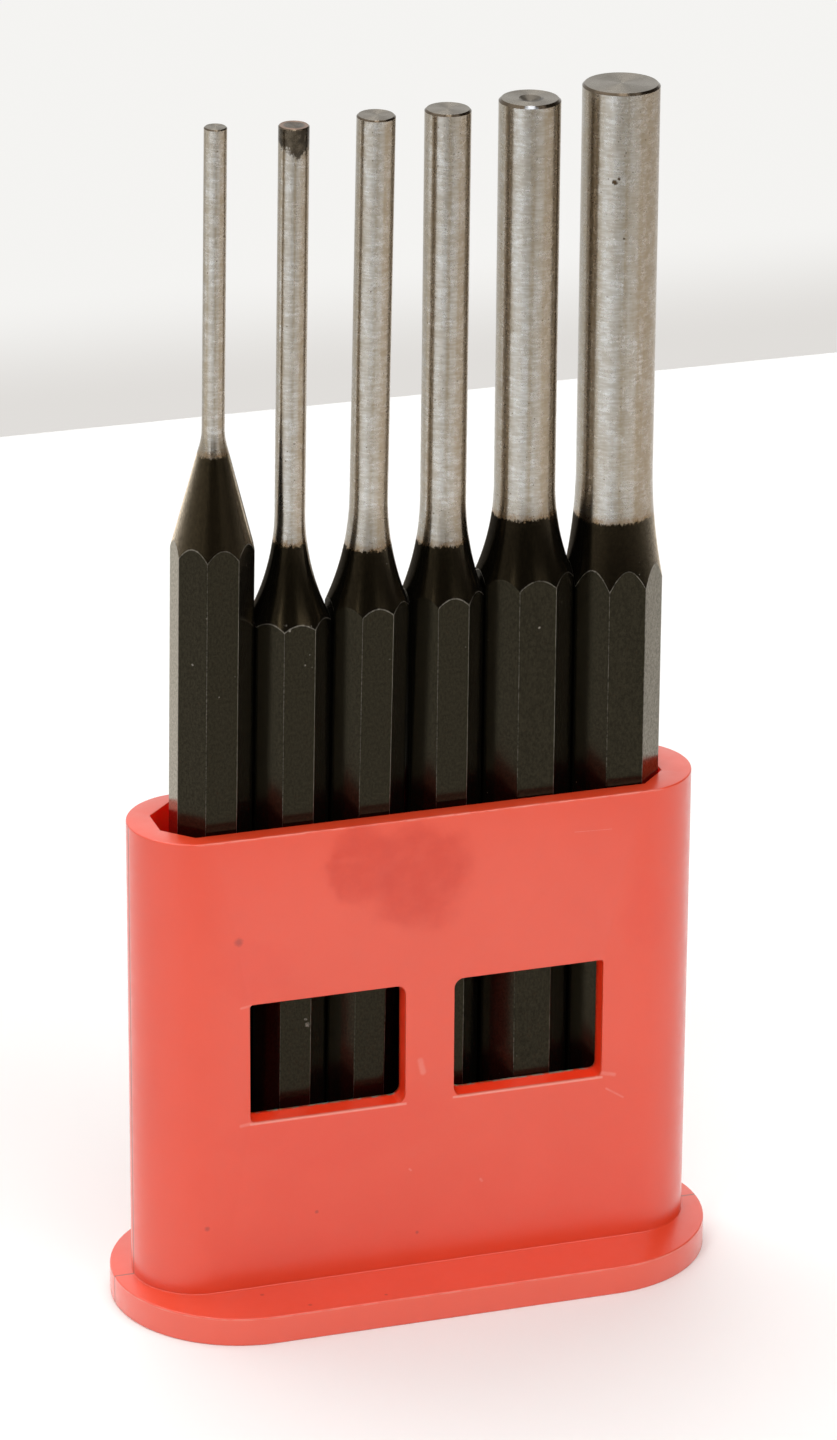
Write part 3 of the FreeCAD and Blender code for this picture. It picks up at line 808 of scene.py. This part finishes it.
def ground_steel(s, spec, profile, line):
    """Bare steel with rings ground round it, a mottle and small pits.

    Painted highlights run up its left and its middle, painted shade runs down its left outline,
    its right side has a painted darker, browner reflection, and its tip's chamfer is painted dark.
    """
    rings = s.noise((0.6, 0.6, 3.0), detail=1.0)
    coarse = s.noise((0.9, 0.9, 0.8), detail=2.0)
    mottle = s.math("MULTIPLY_ADD", s.noise((2.6, 2.6, 4.0), detail=1.0), 0.4, s.both(coarse, 0.6))
    streaks = s.noise((1.5, 1.5, 0.04), detail=2.0)
    cloud = s.noise((0.45, 0.45, 0.22), detail=3.0, roughness=0.6)
    steel = s.mix(s.span(mottle, 0.3, 0.7), STEEL_WARM, STEEL_COOL)
    steel = s.mix(s.span(streaks, 0.38, 0.58, 0.45, 0.0), steel, STEEL_STREAKED)
    across = s.math("DIVIDE", s.x, profile.pin_radius)
    # Painted highlights in two upright strips, left of the middle and at the middle.
    painted_highlights = s.both(s.ridge(across, -0.5, 0.32), 0.55)
    painted_highlights = s.either(painted_highlights, s.both(s.ridge(across, 0.03, 0.2), 0.35))
    steel = s.mix(painted_highlights, steel, STEEL_PAINTED_HIGHLIGHT)
    # Painted shade down the left outline.
    steel = s.mix(s.span(across, -0.9, -0.97, 0.0, 0.6), steel, STEEL_PAINTED_EDGE_SHADE)
    steel = s.mix(s.span(cloud, 0.35, 0.65, 0.3, 0.0), steel, STEEL_CLOUDED)
    steel = s.mix(s.span(rings, 0.35, 0.7, 0.35, 0.0), steel, STEEL_IN_RINGS)
    # Painted reflection of the dark room: the right side is darker and browner.
    painted_reflection_side = s.span(across, -0.3, 0.5, 0.0, 0.5)
    steel = s.mix(s.both(painted_reflection_side, s.span(streaks, 0.3, 0.7, 0.7, 1.0)), steel, STEEL_PAINTED_DARK_REFLECTION)
    steel = s.mix(s.flecks(1.1, 0.11, 0.72), steel, STEEL_FLECK)
    steel = s.mix(spots_on(s, spec.get("pits", [])), steel, STEEL_PIT)
    stain = s.span(line, spec["bright_from"] + 0.6, spec["bright_from"] + 1.9, 0.95, 0.0)
    steel = s.mix(s.both(stain, s.span(coarse, 0.35, 0.6, 0.5, 1.0)), steel, STEEL_STAIN)
    length = spec["length"]
    off_axis = s.vector("LENGTH", s.vector("MULTIPLY", s.place, (1.0, 1.0, 0.0)))
    if "blackened" in spec:
        higher_at_sides = s.math("MULTIPLY_ADD", s.math("ABSOLUTE", s.x), -0.8, s.z)
        torn = s.noise((2.2, 2.2, 1.6), detail=5.0, roughness=0.8)
        edge = s.math("MULTIPLY_ADD", torn, 4.5, higher_at_sides)
        burnt_from = length - spec["blackened"] + 2.0
        burnt = s.mix(s.span(coarse, 0.35, 0.65), *BURNT)
        steel = s.mix(s.span(edge, burnt_from - 0.4, burnt_from + 0.4, 0.0, 0.96), steel, burnt)
    on_face = s.span(s.z, length - 0.02, length - 0.005)
    on_chamfer = s.math("SUBTRACT", s.span(s.z, profile.pin_top - 0.03, profile.pin_top), on_face)
    face = s.mix(mottle, *TIP_FACE)
    if "blackened" in spec:
        rim = s.span(off_axis, profile.pin_radius * 0.55, profile.pin_radius * 0.8)
        face = s.mix(rim, *BURNT_TIP_FACE)
    steel = s.mix(on_face, steel, face)
    # Painted shade on the tip's chamfer, with a painted glint where the punch lists one.
    chamfer = s.mix(spots_on(s, spec.get("rubbed", [])), CHAMFER_PAINTED_SHADE, CHAMFER_GLINT)
    steel = s.mix(on_chamfer, steel, chamfer)
    roughness = s.span(mottle, 0.3, 0.7, 0.30, 0.26)
    if "centre_hole" in spec:
        # Painted shade: the centre hole is darker inside, darkest in its pilot and along its near edge.
        inside = s.span(off_axis, CENTRE_HOLE_RADIUS + 0.02, CENTRE_HOLE_RADIUS - 0.05)
        in_hole = s.both(inside, s.span(s.z, length - 2.0, length - 1.9))
        steel = s.mix(in_hole, steel, STEEL_IN_HOLE_SHADED)
        roughness = s.math("MULTIPLY_ADD", in_hole, 0.5, roughness)
        in_pilot = s.span(off_axis, PILOT_RADIUS + 0.12, PILOT_RADIUS)
        painted_edge_line = s.both(s.ridge(off_axis, CENTRE_HOLE_RADIUS + 0.1, 0.35), s.span(s.y, 0.0, -0.8))
        dark = s.either(painted_edge_line, s.both(in_pilot, in_hole))
        steel = s.mix(s.both(dark, 0.85), steel, HOLE_PAINTED_SHADE)
    return s.surface(
        Base_Color=steel, Metallic=1.0, Anisotropic=0.85, Anisotropic_Rotation=GROOVES_ROUND,
        Roughness=roughness, Normal=s.bump(rings, 0.003, 0.6),
    )


def black_oxide(s, spec):
    """A dark skin whose gloss grows at a low angle, worn through along the edges."""
    grain = s.noise((3.4, 3.4, 2.2), detail=4.0, roughness=0.8)
    lathe = s.noise((0.5, 0.5, 5.0), detail=3.0)
    skin = s.mix(s.span(grain, 0.3, 0.7), *OXIDE)
    relief = s.bump(grain, 0.006, 0.6)
    matt = s.surface(Base_Color=skin, Roughness=0.6, Specular_IOR_Level=0.0, Normal=relief)
    facing = s.facing()
    glance = s.math("MULTIPLY_ADD", s.math("POWER", facing, 3.0), 0.8, 0.02)
    glance = s.both(glance, s.span(grain, 0.32, 0.68, 0.68, 1.32))
    # Painted shade: flats that face the next shank keep little gloss.
    glance = s.both(glance, s.span(s.attribute("sheltered"), 0.0, 1.0, 1.0, NEIGHBOUR_SHADE_GLOSS))
    flat_sheen = s.mix(s.span(facing, 0.0, 0.7), *FLAT_SHEEN)
    turned_sheen = s.mix(s.span(facing, 0.0, 0.7), *FLARE_SHEEN)
    flat_gloss = s.gloss(flat_sheen, 0.17, 0.0, relief)
    turned_gloss = s.gloss(turned_sheen, 0.25, 0.35, s.bump(lathe, 0.008, 0.6))
    extra = s.both(s.attribute("turned"), spec.get("flare_gloss", 1.0) - 1.0)
    glance = s.both(glance, s.math("ADD", extra, 1.0))
    oxide = s.blend(glance, matt, s.blend(s.attribute("turned"), flat_gloss, turned_gloss))
    patchy = s.noise((0.3, 0.3, 0.12), detail=3.0)
    worn = s.both(s.attribute("wear"), s.span(grain, 0.35, 0.65, 0.45, 1.0))
    worn = s.both(worn, s.span(patchy, 0.35, 0.6, 0.6, 1.0))
    dust = s.both(s.flecks(0.55, 0.10, 0.80), 0.35)
    nicks = s.both(spots_on(s, spec.get("nicks", [])), s.span(grain, 0.4, 0.6, 0.15, 0.65))
    bare_share = s.either(s.span(worn, 0.12, 1.0, 0.0, 0.6), s.either(dust, nicks))
    bare = s.surface(Base_Color=BARE_METAL, Metallic=1.0, Roughness=0.5)
    return s.blend(bare_share, oxide, bare)


def punch_material(name, spec, profile):
    """Dark oxide below a ragged line round the flare, and bare ground steel above it."""
    s = Shader(f"{name}_steel")
    ragged = s.math("MULTIPLY_ADD", s.noise((0.25, 0.25, 0.25), detail=2.0), 0.8, s.z)
    ragged = s.math("MULTIPLY_ADD", s.noise((3.6, 3.6, 1.5), detail=5.0, roughness=0.8), 2.2, ragged)
    line = s.math("SUBTRACT", ragged, 0.8)
    bright = s.span(line, spec["bright_from"] + 0.65, spec["bright_from"] + 0.8)
    ground = ground_steel(s, spec, profile, line)
    return s.finish(s.blend(bright, black_oxide(s, spec), ground))


def stand(made, spec, mount):
    """Puts a punch where its pin mount says, leaning as that mount's axis does."""
    axis = Vector(mount["axis"]).normalized()
    sideways = math.asin(axis.x)
    forwards = math.atan2(-axis.y, axis.z)
    turn = Matrix.Rotation(forwards, 4, "X") @ Matrix.Rotation(sideways, 4, "Y")
    pin_length = mount["dims"]["length_mm"]
    tip = Vector(mount["pos_m"]) + axis * (pin_length / 2 + spec["tip"]) * MM
    base = tip - axis * spec["length"] * MM
    made.matrix_world = Matrix.Translation(base) @ turn


def punch_piece(name, spec, mount):
    profile = Profile(spec, mount["dims"]["r_mm"], mount["dims"]["length_mm"])
    made = punch_mesh(name, spec, profile)
    made.data.materials.append(punch_material(name, spec, profile))
    stand(made, spec, mount)
    return made


# ==== Studio ==============================================================================
def plane(name, corners):
    mesh = bpy.data.meshes.new(name)
    mesh.from_pydata([tuple(c * MM for c in corner) for corner in corners], [], [(0, 1, 2, 3)])
    made = bpy.data.objects.new(name, mesh)
    bpy.context.scene.collection.objects.link(made)
    return made


def table_top():
    """A matt white table with a faint glow."""
    made = plane("table", [
        (-TABLE_REACH, TABLE_FRONT_EDGE_Y, TABLE_Z), (TABLE_REACH, TABLE_FRONT_EDGE_Y, TABLE_Z),
        (TABLE_REACH, TABLE_BACK_EDGE_Y, TABLE_Z), (-TABLE_REACH, TABLE_BACK_EDGE_Y, TABLE_Z),
    ])
    s = Shader("white_table")
    made.data.materials.append(s.finish(s.surface(
        Base_Color=TABLE_WHITE, Roughness=0.7,
        Emission_Color=(1.0, 1.0, 1.0), Emission_Strength=TABLE_GLOW,
    )))
    return made


def back_wall():
    """A wall that gives its own light, so that its tone does not hang on the soft boxes."""
    made = plane("wall", [
        (-WALL_REACH, WALL_Y, -WALL_REACH), (WALL_REACH, WALL_Y, -WALL_REACH),
        (WALL_REACH, WALL_Y, WALL_REACH), (-WALL_REACH, WALL_Y, WALL_REACH),
    ])
    s = Shader("grey_wall")
    tone = s.span(s.z, *WALL_LOW_TONE)
    shade = s.mix(tone, WALL_GREY, WALL_WHITE)
    glow = s.surface(Base_Color=(0, 0, 0), Roughness=1.0, Emission_Color=shade, Emission_Strength=1.0)
    made.data.materials.append(s.finish(glow))
    return made


def softbox(name, place, aim, width, height, power):
    light = bpy.data.lights.new(name, "AREA")
    light.shape = "RECTANGLE"
    light.size = width * MM
    light.size_y = height * MM
    light.energy = power
    made = bpy.data.objects.new(name, light)
    made.location = Vector(place) * MM
    made.rotation_euler = (Vector(aim) - Vector(place)).to_track_quat("-Z", "Y").to_euler()
    bpy.context.scene.collection.objects.link(made)


def studio():
    """Soft boxes on both sides, above and behind, in a room that is light behind the object."""
    world = bpy.data.worlds.new("studio")
    bpy.context.scene.world = world
    world.use_nodes = True
    tree = world.node_tree
    background = tree.nodes["Background"]
    direction = tree.nodes.new("ShaderNodeTexCoord").outputs["Generated"]
    towards = tree.nodes.new("ShaderNodeVectorMath")
    towards.operation = "DOT_PRODUCT"
    towards.inputs[1].default_value = ROOM_LIGHT_SIDE
    tree.links.new(direction, towards.inputs[0])
    share = tree.nodes.new("ShaderNodeMapRange")
    share.interpolation_type = "SMOOTHSTEP"
    share.inputs["From Min"].default_value = ROOM_BORDER[0]
    share.inputs["From Max"].default_value = ROOM_BORDER[1]
    tree.links.new(towards.outputs["Value"], share.inputs["Value"])
    room = tree.nodes.new("ShaderNodeMix")
    room.data_type = "RGBA"
    for socket, tint, strength in ((6, ROOM_DARK_TINT, ROOM_DARK), (7, ROOM_LIGHT_TINT, ROOM_LIGHT)):
        room.inputs[socket].default_value = (*(channel * strength for channel in tint), 1.0)
    tree.links.new(share.outputs["Result"], room.inputs["Factor"])
    tree.links.new(room.outputs[2], background.inputs["Color"])
    background.inputs["Strength"].default_value = 1.0
    for name, box in SOFT_BOXES.items():
        softbox(name, **box)
    bpy.context.scene.view_settings.view_transform = "Standard"
    bpy.context.scene.view_settings.look = "None"


def photo_camera():
    data = bpy.data.cameras.new("camera")
    data.sensor_fit = "VERTICAL"
    data.sensor_height = CAMERA_SENSOR_HEIGHT
    data.lens = CAMERA_LENS
    data.clip_start = 0.01
    data.clip_end = 20.0
    made = bpy.data.objects.new("camera", data)
    azimuth, elevation = math.radians(CAMERA_AZIMUTH), math.radians(CAMERA_ELEVATION)
    back = Vector((
        -math.sin(azimuth) * math.cos(elevation), -math.cos(azimuth) * math.cos(elevation),
        math.sin(elevation),
    ))
    right = Vector((math.cos(azimuth), -math.sin(azimuth), 0.0))
    upright = Matrix((right, back.cross(right), back)).transposed().to_4x4()
    place = (Vector(CAMERA_TARGET) + back * CAMERA_DISTANCE) * MM
    roll = Matrix.Rotation(math.radians(CAMERA_ROLL), 4, "Z")
    made.matrix_world = Matrix.Translation(place) @ upright @ roll
    bpy.context.scene.collection.objects.link(made)
    bpy.context.scene.camera = made


# ==== Assembly ============================================================================
def main():
    photo_camera()
    studio()
    table_top()
    back_wall()
    holder = holder_piece()
    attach(holder, "holder")
    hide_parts("holder")
    mounts = {mount["name"]: mount for mount in frame["record"]["mounts"]}
    for name, spec in PUNCHES.items():
        made = punch_piece(name, spec, mounts[f"{name}_pin"])
        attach(made, name)
        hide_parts(name)


main()
bpy.context.view_layer.update()
